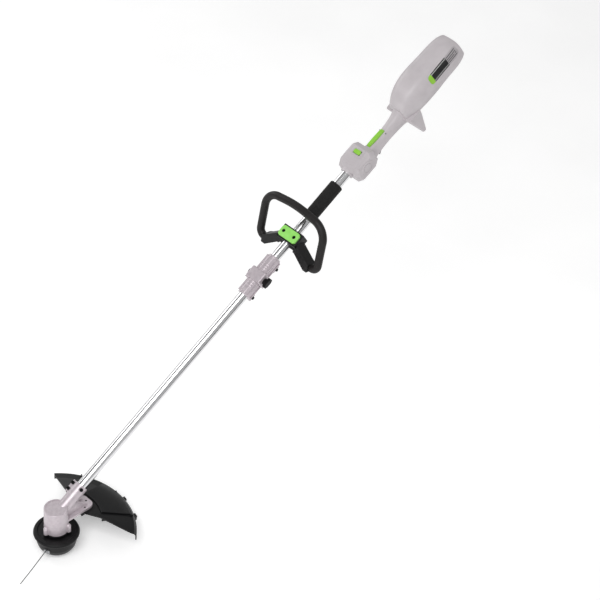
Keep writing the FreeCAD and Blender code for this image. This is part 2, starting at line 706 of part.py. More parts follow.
def tube(label, start, end):
    bore = "tube_od / 2 - tube_wall"
    turned(label, shaft_frame(), "X", [
        (start, bore), (start, "tube_od / 2"), (end, "tube_od / 2"), (end, bore)])


def tubes():
    tube("lower_tube", "tube_start", "lower_tube_end")
    tube("upper_tube", "upper_tube_start", "upper_tube_end")
    bore = "tube_od / 2 - tube_wall"
    bushes = []
    for start, count in (("tube_start + 60", 4), ("upper_tube_start + 50", 2)):
        for i in range(count):
            at = ("%s + %d * bush_pitch" % (start, i), "0", "0")
            bushes.append(less(rod(bore, "bush_length", at, "x"),
                               [rod("rod_od / 2 + running_gap", "bush_length", at, "x")]))
    keep(group(bushes), "shaft_bushes", shaft_frame())


def square_end(start, end):
    half = size("rod_square") / 2
    return box((start, -half, -half), (end, half, half))


def drive_rods():
    """Two steel rods with square ends, joined by a steel sleeve inside the coupler."""
    socket = size("pinion_bearing_start") + 2 * size("bearing_width") + 4
    joint = size("lower_tube_end") - 4
    radius = size("rod_od") / 2
    lower = drum(radius, joint - 24 - socket - 16, (socket + 16, 0, 0), (1, 0, 0))
    lower = lower.multiFuse([square_end(socket, socket + 20), square_end(joint - 28, joint)])
    plain("lower_drive_rod", lower, shaft_frame())
    end = size("motor_start") + size("stack_length") + 17
    upper = drum(radius, size("upper_tube_end") - joint - 26, (joint + 26, 0, 0), (1, 0, 0))
    nose = drum(size("motor_shaft"), end - size("upper_tube_end") + 2,
                (size("upper_tube_end") - 2, 0, 0), (1, 0, 0))
    upper = upper.multiFuse([square_end(joint + 2, joint + 30), nose])
    plain("upper_drive_rod", upper, shaft_frame())
    sleeve = drum(radius + 2.5, 50, (joint - 24, 0, 0), (1, 0, 0))
    half = size("rod_square") / 2 + size("running_gap")
    plain("rod_sleeve", sleeve.cut(box((joint - 30, -half, -half), (joint + 30, half, half))),
          shaft_frame())


# ---- shaft coupler ----------------------------------------------------------------------

def coupler_ears():
    start = size("coupler_start")
    end = start + size("coupler_length")
    return (start + size("ear_length") / 2, end - size("ear_length"))


def block_middle():
    return size("block_start") + size("block_length") / 2


def coupler_body():
    """The die-cast coupler: ribbed barrel slit below, with ears, a button block and a boss."""
    start, length = size("coupler_start"), size("coupler_length")
    outer = size("coupler_radius")
    sides = 8
    points = [V(start, outer * 1.03 * math.cos(math.radians(22.5 + 45 * i)),
                outer * 1.03 * math.sin(math.radians(22.5 + 45 * i))) for i in range(sides)]
    barrel = Part.Face(Part.makePolygon(points + points[:1])).extrude(V(length, 0, 0))
    barrel = barrel.makeFillet(3, [e for e in barrel.Edges if e.BoundBox.XLength > length - 1])
    pieces = []
    low = -size("ear_drop") - 5
    for station in coupler_ears():
        ear = prism([(-14, -8), (14, -8), (11, low), (-11, low)], size("ear_length"), "YZ")
        ear.translate(V(station, 0, 0))
        pieces.append(ear.makeFillet(4, [e for e in ear.Edges if e.CenterOfMass.z < low + 0.1
                                         and e.BoundBox.XLength > 5]))
    first, wide = size("block_start"), size("block_length")
    core = box((first, -size("block_right"), -18), (first + wide, size("block_left"), 18))
    pieces.append(core.makeFillet(3, core.Edges))
    side = box((first - 2, outer - 6, -9), (first + wide + 2, size("block_left") + 3, 9))
    pieces.append(side.makeFillet(2.5, side.Edges))
    for up in (-1, 1):
        rib = box((start + 4, -outer - 1.5, up * 9 - 1), (start + length - 4, outer + 1.5, up * 9 + 1))
        pieces.append(rib)
    body = barrel.multiFuse(pieces)
    tools = [drum(size("tube_od") / 2, length + 10, (start - 5, 0, 0), (1, 0, 0))]
    half = size("clamp_slit") / 2
    for low_end, high_end in ((start - 1, first - 8), (first + wide + 2, start + length + 1)):
        tools.append(box((low_end, -half, -40), (high_end, half, 0)))
    for station in coupler_ears():
        tools.append(drum(size("bolt_radius"), 80, (station, -40, -size("ear_drop") + 3), (0, 1, 0)))
    middle = block_middle()
    seat = button_face() - 7 - size("button_stroke") - 0.5
    tools.append(drum(size("button_radius") + size("running_gap"), 30, (middle, seat, 0), (0, 1, 0)))
    tools.append(drum(size("button_radius") - 3, 30, (middle, size("tube_od") / 2 - 1, 0),
                      (0, 1, 0)))
    tools.append(drum(size("knob_shaft_radius") + size("running_gap"), 14,
                      (middle, -size("block_right") - 1, 0), (0, 1, 0)))
    plain("coupler_body", body.cut(Part.makeCompound(tools)), shaft_frame())


def button_face():
    return size("block_left") + 3


def coupler_fittings():
    bolts = []
    for station in coupler_ears():
        head = drum(size("bolt_head"), size("bolt_head_height"), (station, 14.5, -size("ear_drop") + 3),
                    (0, 1, 0))
        shank = drum(size("bolt_radius"), 29, (station, -14.5, -size("ear_drop") + 3), (0, 1, 0))
        key = drum(size("key_radius"), 3, (station, 14.5 + size("bolt_head_height") - 3,
                                           -size("ear_drop") + 3), (0, 1, 0))
        nut = drum(size("bolt_head"), 3, (station, -16.5, -size("ear_drop") + 3), (0, 1, 0))
        bolts.append(shank.multiFuse([head, nut]).cut(key))
    plain("coupler_bolts", Part.makeCompound(bolts), shaft_frame())
    middle, face, stroke = block_middle(), button_face(), size("button_stroke")
    inner = size("tube_od") / 2 + stroke + 1
    button = drum(size("button_radius"), 7 + stroke, (middle, face - 7, 0), (0, 1, 0))
    pin = drum(size("button_radius") - 3.2, face - 7 - inner, (middle, inner, 0), (0, 1, 0))
    plain("release_button", button.fuse(pin), shaft_frame())
    low = -size("block_right") - 5.4
    knob = drum(9, 5, (middle, low, 0), (0, 1, 0))
    stem = drum(size("knob_shaft_radius"), -low - size("tube_od") / 2 - 1, (middle, low, 0), (0, 1, 0))
    reach = size("wing_radius")
    wings = prism([(-reach, 3), (-6, 6.5), (6, 6.5), (reach, 3), (reach, -3), (6, -6.5), (-6, -6.5),
                   (-reach, -3)], 9)
    wings = wings.makeFillet(1.5, [e for e in wings.Edges if e.BoundBox.YLength > 5])
    wings.translate(V(middle, low - 4.1, 0))
    plain("wing_knob", wings.multiFuse([knob, stem]), shaft_frame())


# ---- loop handle ------------------------------------------------------------------------

def loop_frame():
    """Local Y across and Z up the leaning loop, at the clamp's station on the shaft."""
    lean = FreeCAD.Placement(V(size("handle_station"), 0, 0),
                             FreeCAD.Rotation(V(0, 1, 0), size("handle_lean")))
    return shaft_frame().multiply(lean)


def loop_handle():
    wide, top, foot = size("loop_half_width"), size("loop_top"), size("loop_foot")
    crown = size("loop_crown")
    points = [V(0, -size("foot_face"), -foot), V(0, -wide, -foot), V(0, -wide, top - crown),
              V(0, 0, top), V(0, wide, top - crown), V(0, wide, -foot), V(0, size("foot_face"), -foot)]
    radii = [size("foot_corner"), size("loop_corner"), 300, size("loop_corner"), size("foot_corner")]
    path = rounded_path(points, radii)
    plain("loop_handle", tube_along(path, size("loop_od") / 2), loop_frame())


def clamp_middle():
    return size("handle_station") + 6


def bracket_arms():
    """Two wedge arms, square to the leaning loop, that hold the loop's two feet."""
    foot, face = size("loop_foot"), size("foot_face")
    low = -foot - size("loop_od") / 2
    arms = prism([(-face, low), (-face, -foot + 12), (-face + 12, -foot + 18), (-34, 8), (34, 8),
                  (face - 12, -foot + 18), (face, -foot + 12), (face, low), (face - 14, low),
                  (30, -18), (-30, -18), (14 - face, low)], size("arm_depth"), "YZ")
    arms = arms.makeFillet(3, [e for e in arms.Edges if e.BoundBox.XLength > size("arm_depth") - 1
                               and abs(e.CenterOfMass.y) > face - 13])
    arms.rotate(V(), V(0, 1, 0), size("handle_lean"))
    arms.translate(V(size("handle_station"), 0, 0))
    return arms


def clamp_rods(radius, low, length):
    return [drum(radius, length, (clamp_middle(), side * 18.5, low), (0, 0, 1)) for side in (-1, 1)]


def handle_clamp():
    station, depth, top = size("handle_station"), size("bracket_depth"), size("saddle_top")
    middle = clamp_middle()
    half, drop = size("clamp_half_width"), size("clamp_drop")
    bore = drum(size("tube_od") / 2 + size("running_gap"), 120, (station - 60, 0, 0), (1, 0, 0))
    cuts = [bore] + clamp_rods(size("bolt_radius"), -40, 80)
    saddle = box((middle - depth / 2, -34, -14), (middle + depth / 2, 34, top))
    saddle = saddle.makeFillet(3, [e for e in saddle.Edges if e.BoundBox.XLength > depth - 1])
    room = box((station - 60, -half - 1, -60), (station + 60, half + 1, 0))
    bracket = saddle.fuse(bracket_arms()).cut(Part.makeCompound([room]))
    plain("handle_bracket", bracket.cut(Part.makeCompound(cuts)), shaft_frame())
    lower = prism([(-half, -1), (half, -1), (half, -10), (14, -drop), (-14, -drop), (-half, -10)],
                  depth - 6, "YZ")
    lower.translate(V(middle, 0, 0))
    lower = lower.makeFillet(1.5, [e for e in lower.Edges if e.BoundBox.XLength > depth - 8
                                   and e.CenterOfMass.z < -5])
    plain("handle_clamp", lower.cut(Part.makeCompound(cuts)), shaft_frame())
    reach = size("cover_half_length")
    cover = box((middle - 15, -reach, top), (middle + 15, reach, top + size("cover_height")))
    cover = cover.makeFillet(8, [e for e in cover.Edges if e.BoundBox.ZLength > 3])
    cover = cover.makeFillet(1.5, [e for e in cover.Edges if e.CenterOfMass.z > top + 5])
    seats = clamp_rods(size("bolt_head") + 0.4, top + 2.5, 4)
    plain("handle_cover", cover.cut(Part.makeCompound(seats + clamp_rods(
        size("bolt_radius"), top - 1, 9))), shaft_frame())
    fixed = [shank.fuse(head).cut(key) for shank, head, key in zip(
        clamp_rods(size("bolt_radius"), -12, top + 14.5), clamp_rods(size("bolt_head"), top + 2.5, 2.5),
        clamp_rods(size("key_radius"), top + 3.5, 2))]
    plain("handle_bolts", Part.makeCompound(fixed), shaft_frame())


def foam_sleeve():
    edge = "sleeve_od / 2 - 1.5"
    turned("foam_sleeve", shaft_frame(), "X", [
        ("sleeve_start", "tube_od / 2"), ("sleeve_start", edge), ("sleeve_start + 2", "sleeve_od / 2"),
        ("sleeve_start + sleeve_length - 2", "sleeve_od / 2"), ("sleeve_start + sleeve_length", edge),
        ("sleeve_start + sleeve_length", "tube_od / 2")])


# ---- rear housing -----------------------------------------------------------------------

def hub_shape(inset):
    """The faceted motor hub: an eight-sided block across the shaft, chamfered at its sides."""
    middle, drop = size("hub_middle"), size("hub_drop")
    layers = []
    for across, trim in ((-1, 8), (-0.8, 0), (0.8, 0), (1, 8)):
        long = size("hub_half_length") - inset - trim
        high = size("hub_half_height") - inset - trim
        cut = size("hub_corner") - trim * 0.4
        y = across * (size("hub_half_width") - inset)
        points = [(-long, high - cut), (-long + cut, high), (long - cut, high), (long, high - cut),
                  (long, cut - high), (long - cut, -high), (cut - long, -high), (-long, cut - high)]
        corners = [V(middle + a, y, b - drop) for a, b in points]
        layers.append(Part.makePolygon(corners + corners[:1]))
    return Part.makeLoft(layers, True, True)


def grip_shape(inset):
    """The slim rear grip: rounded sections that flare into the hub and into the hood."""
    wide, high, drop = size("grip_half_width"), size("grip_half_height"), size("grip_drop")
    start = size("hub_middle") + size("hub_half_length") - 8
    end = size("hood_start") + 14
    return loft(0.6, [(start, wide + 4 - inset, high + 5 - inset, -drop + 2),
                      (start + 22, wide + 0.5 - inset, high + 2 - inset, -drop),
                      (start + 60, wide - 0.5 - inset, high - 1 - inset, -drop),
                      (start + 92, wide + 0.5 - inset, high - inset, -drop + 1),
                      (end - 14, wide + 6 - inset, high + 6 - inset, -drop + 6),
                      (end, wide + 12 - inset, high + 13 - inset, -drop + 12)])


def hood_shape(inset):
    """The hood over the battery bay: it widens quickly from the grip and closes at the rear."""
    wide, high = size("hood_half_width"), size("hood_half_height")
    rise, start, end = size("hood_rise"), size("hood_start"), size("hood_end")
    return loft(0.75, [(start + inset, wide - 18 - inset, high - 14 - inset, rise - 20),
                       (start + 22, wide - 9 - inset, high - 5 - inset, rise - 8),
                       (start + 60, wide - 1 - inset, high - inset, rise),
                       (start + 120, wide - inset, high - inset, rise + 0.5),
                       (end - 48, wide - 1 - inset, high - 3 - inset, rise - 1),
                       (end - 17, wide - 4 - inset, high - 6 - inset, rise - 3),
                       (end - inset, wide - 10 - inset, high - 12 - inset, rise - 5)])


def foot_shape(inset):
    """The transverse foot wall in front of the battery: a stand that tapers downwards."""
    start, drop = size("hood_start"), size("foot_drop")
    top = -6 - 3 * inset
    points = [(start - 4 + inset, top), (start + 18 + inset, -drop + inset),
              (start + 31 - inset, -drop + inset), (size("bay_start") - inset, -34),
              (size("bay_start") - inset, top)]
    foot = prism(points, 2 * (size("hood_half_width") - 4 - inset))
    edges = [e for e in foot.Edges if e.BoundBox.YLength < 1 and e.BoundBox.ZLength > 50]
    return foot.makeFillet(6 - inset, edges)


def on_flank(shape, side):
    """Turn a shape about the hood's centre line up onto one flank."""
    shape.rotate(V(), V(1, 0, 0), size("badge_roll"))
    shape.translate(V(0, 0, size("hood_rise") - 3))
    return shape if side > 0 else shape.mirror(V(), V(0, 1, 0))


def badge_box(side, inset):
    """The long recess for a side badge, on the hood's flank."""
    start, length = size("badge_start"), size("badge_length")
    half = size("badge_height") / 2
    low = box((start + inset, 0, -half + inset),
              (start + length - inset, size("hood_half_width") + 20, half - inset))
    return on_flank(low.makeFillet(9 - inset, [e for e in low.Edges if e.BoundBox.YLength > 5]), side)


def skin_cut(side, depth):
    """Everything deeper than the given depth below the hood's own surface, on one flank."""
    start, end = size("badge_start") - 20, size("badge_start") + size("badge_length") + 20
    near = box((start, 0, -60), (end, 90, 90))
    if side < 0:
        near = near.mirror(V(), V(0, 1, 0))
    return near.cut(hood_shape(depth))


def control_slots():
    """Openings for the trigger, lock-off lever, power button, latch and plunger."""
    gap = size("slot_gap")
    half = size("trigger_width") / 2 + gap
    start, length = size("trigger_start"), size("trigger_length")
    drop = size("grip_drop")
    trigger = box((start + 3 - gap, -half, -drop - 45), (start + length + 4, half, -drop - 8))
    half = size("lever_width") / 2 + gap
    start, length = size("lever_start"), size("lever_length")
    lever = box((start - gap, -half, -8), (start + length + gap, half, 40))
    middle = size("hub_middle") + 12
    roof = size("hub_half_height") - size("hub_drop")
    power = box((middle - size("power_width") / 2 - gap, -size("power_length") / 2 - gap, roof - 5),
                (middle + size("power_width") / 2 + gap, size("power_length") / 2 + gap, 60))
    half = size("latch_width") / 2 + gap
    low = -size("latch_drop") - size("latch_height") / 2 - gap
    latch = box((size("bay_start") - 12, -half, low),
                (size("bay_start") + 5, half, low + size("latch_height") + 2 * gap))
    plunger = drum(size("plunger_radius") + 0.4, 30,
                   (size("bay_start") + 70, 0, size("bay_ceiling") - 5), (0, 0, 1))
    return [trigger, lever, power, latch, plunger]


def housing_solid():
    outer = hub_shape(0).multiFuse([grip_shape(0), hood_shape(0), foot_shape(0)])
    wall = size("housing_wall")
    bay = box((size("bay_start"), -size("bay_half_width"), -size("foot_drop") - 20),
              (size("bay_end"), size("bay_half_width"), size("bay_ceiling")))
    bay = bay.makeFillet(10, [e for e in bay.Edges if e.BoundBox.ZLength > 50
                              and e.CenterOfMass.x > size("bay_start") + 5])
    attic = box((size("bay_start") + 2, -30, size("bay_ceiling") + 2.5),
                (size("bay_end") - 30, 30, 90)).common(hood_shape(wall))
    hollow = [hub_shape(wall), grip_shape(wall), foot_shape(wall), bay, attic,
              box((size("hood_start") - 6, -14, -20), (size("bay_start") + 6, 14, 4)),
              drum(size("tube_od") / 2 + size("running_gap"), 60, (size("hub_middle") - 70, 0, 0),
                   (1, 0, 0))]
    shell = outer.cut(Part.makeCompound(hollow[:1]))
    for item in hollow[1:]:
        shell = shell.cut(item)
    collar = drum(size("tube_od") / 2 + 4.5, 22,
                  (size("hub_middle") - size("hub_half_length") - 6, 0, 0), (1, 0, 0))
    collar = collar.cut(hollow[-1])
    stand = drum(size("stator_radius") + 3, size("stack_length") - 6,
                 (size("motor_start") + 3, 0, 0), (1, 0, 0))
    stand = stand.cut(drum(size("stator_radius"), 90, (size("hub_middle") - 45, 0, 0), (1, 0, 0)))
    shell = shell.multiFuse([collar, stand.common(hub_shape(1))])
    for side in (-1, 1):
        shell = shell.cut(skin_cut(side, size("badge_depth")).common(badge_box(side, 0)))
        y = side * size("hub_half_width")
        disc = drum(size("disc_radius"), size("disc_depth") - 1,
                    (size("hub_middle"), y, -size("hub_drop")), (0, -side, 0))
        shell = shell.cut(disc)
    for item in control_slots() + pivot_holes() + screw_rods(size("screw_radius")):
        shell = shell.cut(item)
    return shell


def pivot_spots():
    trigger = (size("trigger_start") + size("trigger_length"), -size("grip_drop") - 12)
    lever = (size("lever_start") + size("lever_length") - 3, -size("grip_drop") + 14)
    return (trigger, lever)


def pivot_holes():
    return [drum(size("pin_radius"), 24, (u, -12, w), (0, 1, 0)) for u, w in pivot_spots()]


def housing_shells():
    shell = housing_solid()
    far = 200
    for label, side in (("housing_left", 1), ("housing_right", -1)):
        low, high = (0, far) if side > 0 else (-far, 0)
        half = shell.common(box((900, low, -far), (1700, high, far)))
        solids = sorted(half.Solids, key=lambda solid: -solid.Volume)
        plain(label, solids[0], shaft_frame())


def trim_panels():
    discs = []
    badges = []
    for side in (-1, 1):
        y = side * (size("hub_half_width") - size("disc_depth") + 1)
        disc = drum(size("disc_radius") - 0.2, size("disc_depth"),
                    (size("hub_middle"), y, -size("hub_drop")), (0, side, 0))
        edge = [e for e in disc.Edges if abs(e.CenterOfMass.y) > size("hub_half_width")]
        disc = disc.makeFillet(0.8, edge)
        groove = drum(size("disc_radius") - 7, 1, (size("hub_middle"), y + side * 2.2,
                                                   -size("hub_drop")), (0, side, 0))
        inner = drum(size("disc_radius") - 9, 1, (size("hub_middle"), y + side * 2.2,
                                                  -size("hub_drop")), (0, side, 0))
        discs.append(disc.cut(groove.cut(inner)))
        panel = hood_shape(0).common(skin_cut(side, size("badge_depth")))
        panel = panel.common(badge_box(side, 0.25))
        badges.append(max(panel.cut(Part.makeCompound(vents(side))).Solids, key=lambda s: s.Volume))
    plain("hub_discs", Part.makeCompound(discs), shaft_frame())
    plain("badge_panels", Part.makeCompound(badges), shaft_frame())


def vents(side):
    """Long cooling slots at the rear end of a badge panel."""
    start = size("badge_start") + size("badge_length") - 42
    pitch = (size("badge_height") - 6) / size("vent_count")
    slots = []
    for i in range(int(size("vent_count"))):
        middle = pitch * (i - (size("vent_count") - 1) / 2)
        slots.append(on_flank(box((start, 0, middle - 1.3), (start + 36, 90, middle + 1.3)), side))
    return slots


# ---- motor and electrics ----------------------------------------------------------------

def motor():
    start, length = "motor_start", "stack_length"
    inner = "rotor_radius + air_gap"
    turned("motor_stator", shaft_frame(), "X", [
        (start, inner), (start, "stator_radius"), (start + " + " + length, "stator_radius"),
        (start + " + " + length, inner)])
    turned("motor_rotor", shaft_frame(), "X", [
        (start + " + 1", "motor_shaft"), (start + " + 1", "rotor_radius"),
        (start + " + " + length + " - 1", "rotor_radius"),
        (start + " + " + length + " - 1", "motor_shaft")])
    shells = []
    for station in ("motor_start - motor_bearing_width - 3", "motor_start + stack_length + 3"):
        at = (station, "0", "0")
        ring = less(rod("motor_bearing_radius", "motor_bearing_width", at, "x"),
                    [rod("motor_shaft", "motor_bearing_width", at, "x")])
        carrier = less(rod("stator_radius + 1.5", "motor_bearing_width", at, "x"),
                       [rod("motor_bearing_radius", "motor_bearing_width", at, "x")])
        shells.append((ring, carrier))
    keep(group([ring for ring, carrier in shells]), "motor_bearings", shaft_frame())
    keep(group([carrier for ring, carrier in shells]), "motor_end_plates", shaft_frame())
    back = size("motor_start") + size("stack_length") + 10
    blades = []
    for i in range(9):
        blade = box((back, 6, -0.8), (back + size("fan_depth"), size("fan_radius") - 1, 0.8))
        blade.rotate(V(), V(1, 0, 0), 40 * i)
        blades.append(blade)
    disc = drum(size("fan_radius") - 1, 1.5, (back, 0, 0), (1, 0, 0))
    hub = drum(7, size("fan_depth"), (back, 0, 0), (1, 0, 0))
    bore = drum(size("motor_shaft"), 30, (back - 5, 0, 0), (1, 0, 0))
    plain("motor_fan", disc.multiFuse(blades + [hub]).cut(bore), shaft_frame())


def electrics():
    ceiling = size("bay_ceiling")
    start = size("bay_start")
    board = block("110", "50", "board_thickness", ("bay_start + 8", "-25", "bay_ceiling + 5"))
    hole = rod("plunger_radius + 3", "10", ("bay_start + 70", "0", "bay_ceiling"), "z")
    keep(less(board, [hole]), "controller_board", shaft_frame())
    body = box((start + 8, -20, ceiling - 12), (start + 26, 20, ceiling))
    blades = [box((start + 12, y - 0.6, ceiling - 24), (start + 22, y + 0.6, ceiling - 11))
              for y in (-15, -5, 5, 15)]
    plain("terminal_block", body.multiFuse(blades), shaft_frame())
    drop = size("grip_drop")
    case = box((size("trigger_start") + 6, -6, -drop - 4), (size("trigger_start") + 30, 6, -drop + 6))
    stem = drum(1.8, 1.5, (size("trigger_start") + 12, 0, -drop - 5.5), (0, 0, 1))
    plain("switch_module", case.fuse(stem), shaft_frame())


# ---- controls ---------------------------------------------------------------------------

def controls():
    start, length, drop = size("trigger_start"), size("trigger_length"), size("grip_drop")
    (pivot_u, pivot_w), (lever_u, lever_w) = pivot_spots()
    outline_points = [(start + 6, -drop - 9), (pivot_u + 3, -drop - 9), (pivot_u + 3, -drop - 15),
                      (pivot_u - 4, -drop - 22), (start + 14, -drop - 26), (start + 4, -drop - 35),
                      (start, -drop - 34), (start + 5, -drop - 24)]
    trigger = prism(outline_points, size("trigger_width"))
    trigger = trigger.makeFillet(1.2, [e for e in trigger.Edges if e.BoundBox.YLength > 5
                                       and e.CenterOfMass.z < -drop - 16])
    hole = drum(size("pin_radius") + size("running_gap"), 40, (pivot_u, -20, pivot_w), (0, 1, 0))
    plain("trigger", trigger.cut(hole), shaft_frame())
    top = size("lever_height")
    begin, long = size("lever_start"), size("lever_length")
    lever = prism([(begin, -4), (begin, top - 2), (begin + 5, top + 1), (begin + 20, top + 1.5),
                   (begin + long - 8, top - 0.5), (begin + long, top - 4), (begin + long, lever_w - 3),
                   (lever_u - 5, lever_w - 3), (begin + long * 0.6, -3)], size("lever_width"))
    lever = lever.makeFillet(1, [e for e in lever.Edges if e.BoundBox.YLength > 5
                                 and e.CenterOfMass.z > top - 3])
    hole = drum(size("pin_radius") + size("running_gap"), 40, (lever_u, -20, lever_w), (0, 1, 0))
    plain("lock_off_lever", lever.cut(hole), shaft_frame())
    pins = [drum(size("pin_radius"), 24, (u, -12, w), (0, 1, 0)) for u, w in pivot_spots()]
    plain("pivot_pins", Part.makeCompound(pins), shaft_frame())
    middle = size("hub_middle") + 12
    roof = size("hub_half_height") - size("hub_drop")
    power = box((middle - size("power_width") / 2, -size("power_length") / 2, roof - 3.4),
                (middle + size("power_width") / 2, size("power_length") / 2, roof + 2.2))
    power = power.makeFillet(5, [e for e in power.Edges if e.BoundBox.ZLength > 4])
    plain("power_button", power, shaft_frame())
    bay = size("bay_start")
    low = -size("latch_drop") - size("latch_height") / 2
    half = size("latch_width") / 2
    latch = prism([(bay - 19, low), (bay - 19, low + size("latch_height")),
                   (bay, low + size("latch_height")), (bay + 4.5, low + size("latch_height") - 6),
                   (bay + 4.5, low + 4), (bay, low)], 2 * half)
    plain("battery_latch", latch, shaft_frame())
    at = (bay + 70, 0, size("bay_ceiling") - 8)
    plunger = drum(size("plunger_radius"), 12, at, (0, 0, 1))
    cap = drum(size("plunger_radius") + 2, 1.5, (bay + 70, 0, size("bay_ceiling") + 2.5), (0, 0, 1))
    plain("eject_plunger", plunger.fuse(cap), shaft_frame())


def screw_spots():
    """Station, height and reach of each screw that joins the housing's halves."""
    hub, drop = size("hub_middle"), size("hub_drop")
    return ((hub - 26, -drop - 22, 26), (hub + 26, -drop - 22, 26),
            (hub + 128, -size("grip_drop") - 8, 10), (size("hood_start") + 22, 10 - size("foot_drop"), 28))


def screw_rods(radius):
    return [drum(radius, 2 * wide, (u, -wide, w), (0, 1, 0)) for u, w, wide in screw_spots()]


def housing_screws():
    plain("housing_screws", Part.makeCompound(screw_rods(size("screw_radius"))), shaft_frame())


# ---- assembly ---------------------------------------------------------------------------

def check_and_write():
    doc.recompute()
    for item in doc.Objects:
        if "Invalid" in item.State or "Error" in item.State:
            raise RuntimeError("failed object " + item.Label)
    os.makedirs("parts", exist_ok=True)
    for item in kept:
        shape = item.Shape
        if shape.isNull() or not shape.isValid():
            raise RuntimeError("bad shape " + item.Label)
        shape.exportStep("parts/%s.step" % item.Label)
    print(len(kept), "sub-parts written")


fill_sheet()
bump_knob()
spool()
wound_line()
spool_spring()
head_cup()
head_cover()
line_eyelets()
line_end("line_end_front", 0)
line_end("line_end_rear", 180)
bevel_gear()
bevel_pinion()
output_spindle()
bearings()
gear_housing()
housing_base()
case_screws()
guard()
cutter_blade()
tubes()
drive_rods()
coupler_body()
coupler_fittings()
loop_handle()
handle_clamp()
foam_sleeve()
housing_shells()
trim_panels()
motor()
electrics()
controls()
housing_screws()
check_and_write()
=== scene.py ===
# %% [markdown]
# # A cordless string trimmer, finished in Blender
# The design model gives every hard part its size and place. This script gives those parts their
# materials, and it replaces the ones whose real surface is richer than the design needs.
# Everything is in metres, in the design's own frame: Z is up along the line head's spin axis,
# and the shaft climbs towards +X.

# %% Load the frame
import math
import bmesh
import bpy
from mathutils import Matrix, Vector


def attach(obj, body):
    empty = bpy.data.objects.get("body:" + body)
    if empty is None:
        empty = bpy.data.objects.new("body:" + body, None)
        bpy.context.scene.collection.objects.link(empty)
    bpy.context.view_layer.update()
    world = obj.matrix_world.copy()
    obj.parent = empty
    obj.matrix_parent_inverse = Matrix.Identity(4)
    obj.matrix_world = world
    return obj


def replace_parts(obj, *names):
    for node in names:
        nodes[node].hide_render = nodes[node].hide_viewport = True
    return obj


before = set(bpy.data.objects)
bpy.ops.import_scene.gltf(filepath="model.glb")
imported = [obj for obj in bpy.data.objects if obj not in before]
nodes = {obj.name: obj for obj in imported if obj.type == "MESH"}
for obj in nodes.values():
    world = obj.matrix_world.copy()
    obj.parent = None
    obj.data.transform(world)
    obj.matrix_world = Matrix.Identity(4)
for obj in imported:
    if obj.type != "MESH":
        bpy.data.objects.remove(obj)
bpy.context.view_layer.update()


# %% [markdown]
# The shaft has a frame of its own. Its x runs up the tube from where the tube's axis meets the
# spin axis, y is across, and z stands square to both. The coupler's rings and bars, the frame
# round the hub's power key and the hood's printed pattern are given in that frame in millimetres,
# because that is how a drawing of the tool gives them, and one matrix carries them home.

# %% The shaft frame
MM = 0.001
TILT = math.radians(32)
AXIS_HEIGHT = 108 * MM
SHAFT = Matrix.Translation((0, 0, AXIS_HEIGHT)) @ Matrix.Rotation(-TILT, 4, "Y")
SHAFT_MM = SHAFT @ Matrix.Scale(MM, 4)
HEAD_MM = Matrix.Scale(MM, 4)
UP_SHAFT = SHAFT.to_3x3() @ Vector((1, 0, 0))
print("shaft direction", tuple(round(v, 3) for v in UP_SHAFT))


# %% [markdown]
# The camera comes first, so that every look at the model is the same look. It stands in front
# and to the right of the tool, well above it. A long lens from five metres keeps the tube
# nearly the same width all the way up.

# %% Camera
AZIMUTH, ELEVATION, ROLL = math.radians(-46.78), math.radians(40.0), math.radians(4.28)
DISTANCE = 5.0
LENS = 119.0


def aim_camera():
    back = Vector((math.sin(AZIMUTH) * math.cos(ELEVATION),
                   -math.cos(AZIMUTH) * math.cos(ELEVATION), math.sin(ELEVATION)))
    level = Vector((math.cos(AZIMUTH), math.sin(AZIMUTH), 0))
    rise = back.cross(level)
    right = level * math.cos(ROLL) + rise * math.sin(ROLL)
    up = rise * math.cos(ROLL) - level * math.sin(ROLL)
    coupler = SHAFT_MM @ Vector((780, 0, 0))
    data = bpy.data.cameras.new("camera")
    data.lens = LENS
    data.sensor_width = 36
    camera = bpy.data.objects.new("camera", data)
    bpy.context.scene.collection.objects.link(camera)
    place = coupler + back * DISTANCE + right * 0.1038 - up * 0.0582
    turn = Matrix((right, up, back)).transposed().to_4x4()
    camera.matrix_world = Matrix.Translation(place) @ turn
    bpy.context.scene.camera = camera
    return camera


camera = aim_camera()
print("camera at", tuple(round(v, 2) for v in camera.location))


# %% [markdown]
# Colours are chosen as sRGB hex values, as a paint card gives them, and the renderer wants
# linear light, so one function converts them. A second small function adds a shader node with
# its settings and links; every material below is built from it.

# %% Colour and node helpers
def linear(hex_colour):
    channels = [int(hex_colour[i:i + 2], 16) / 255 for i in (0, 2, 4)]
    return [c / 12.92 if c <= 0.04045 else ((c + 0.055) / 1.055) ** 2.4 for c in channels] + [1]


def node(tree, kind, settings=(), **inputs):
    """Add a node; an input is a value, or a (node, output) pair to link from."""
    item = tree.nodes.new(kind)
    for name, value in dict(settings).items():
        setattr(item, name, value)
    for name, value in inputs.items():
        socket = item.inputs[int(name[1:])] if name[0] == "i" and name[1:].isdigit() \
            else item.inputs[name.replace("_", " ")]
        if isinstance(value, tuple) and hasattr(value[0], "outputs"):
            tree.links.new(value[0].outputs[value[1]], socket)
        else:
            socket.default_value = value
    return item


def new_material(name):
    """An empty material with its surface shader and its object coordinates."""
    item = bpy.data.materials.new(name)
    item.use_nodes = True
    tree = item.node_tree
    tree.nodes.clear()
    shader = node(tree, "ShaderNodeBsdfPrincipled")
    output = node(tree, "ShaderNodeOutputMaterial", Surface=(shader, "BSDF"))
    place = node(tree, "ShaderNodeTexCoord")
    output.location.x = 400
    return item, tree, shader, place


def link(tree, source, output, target, socket):
    tree.links.new(source.outputs[output], target.inputs[socket])


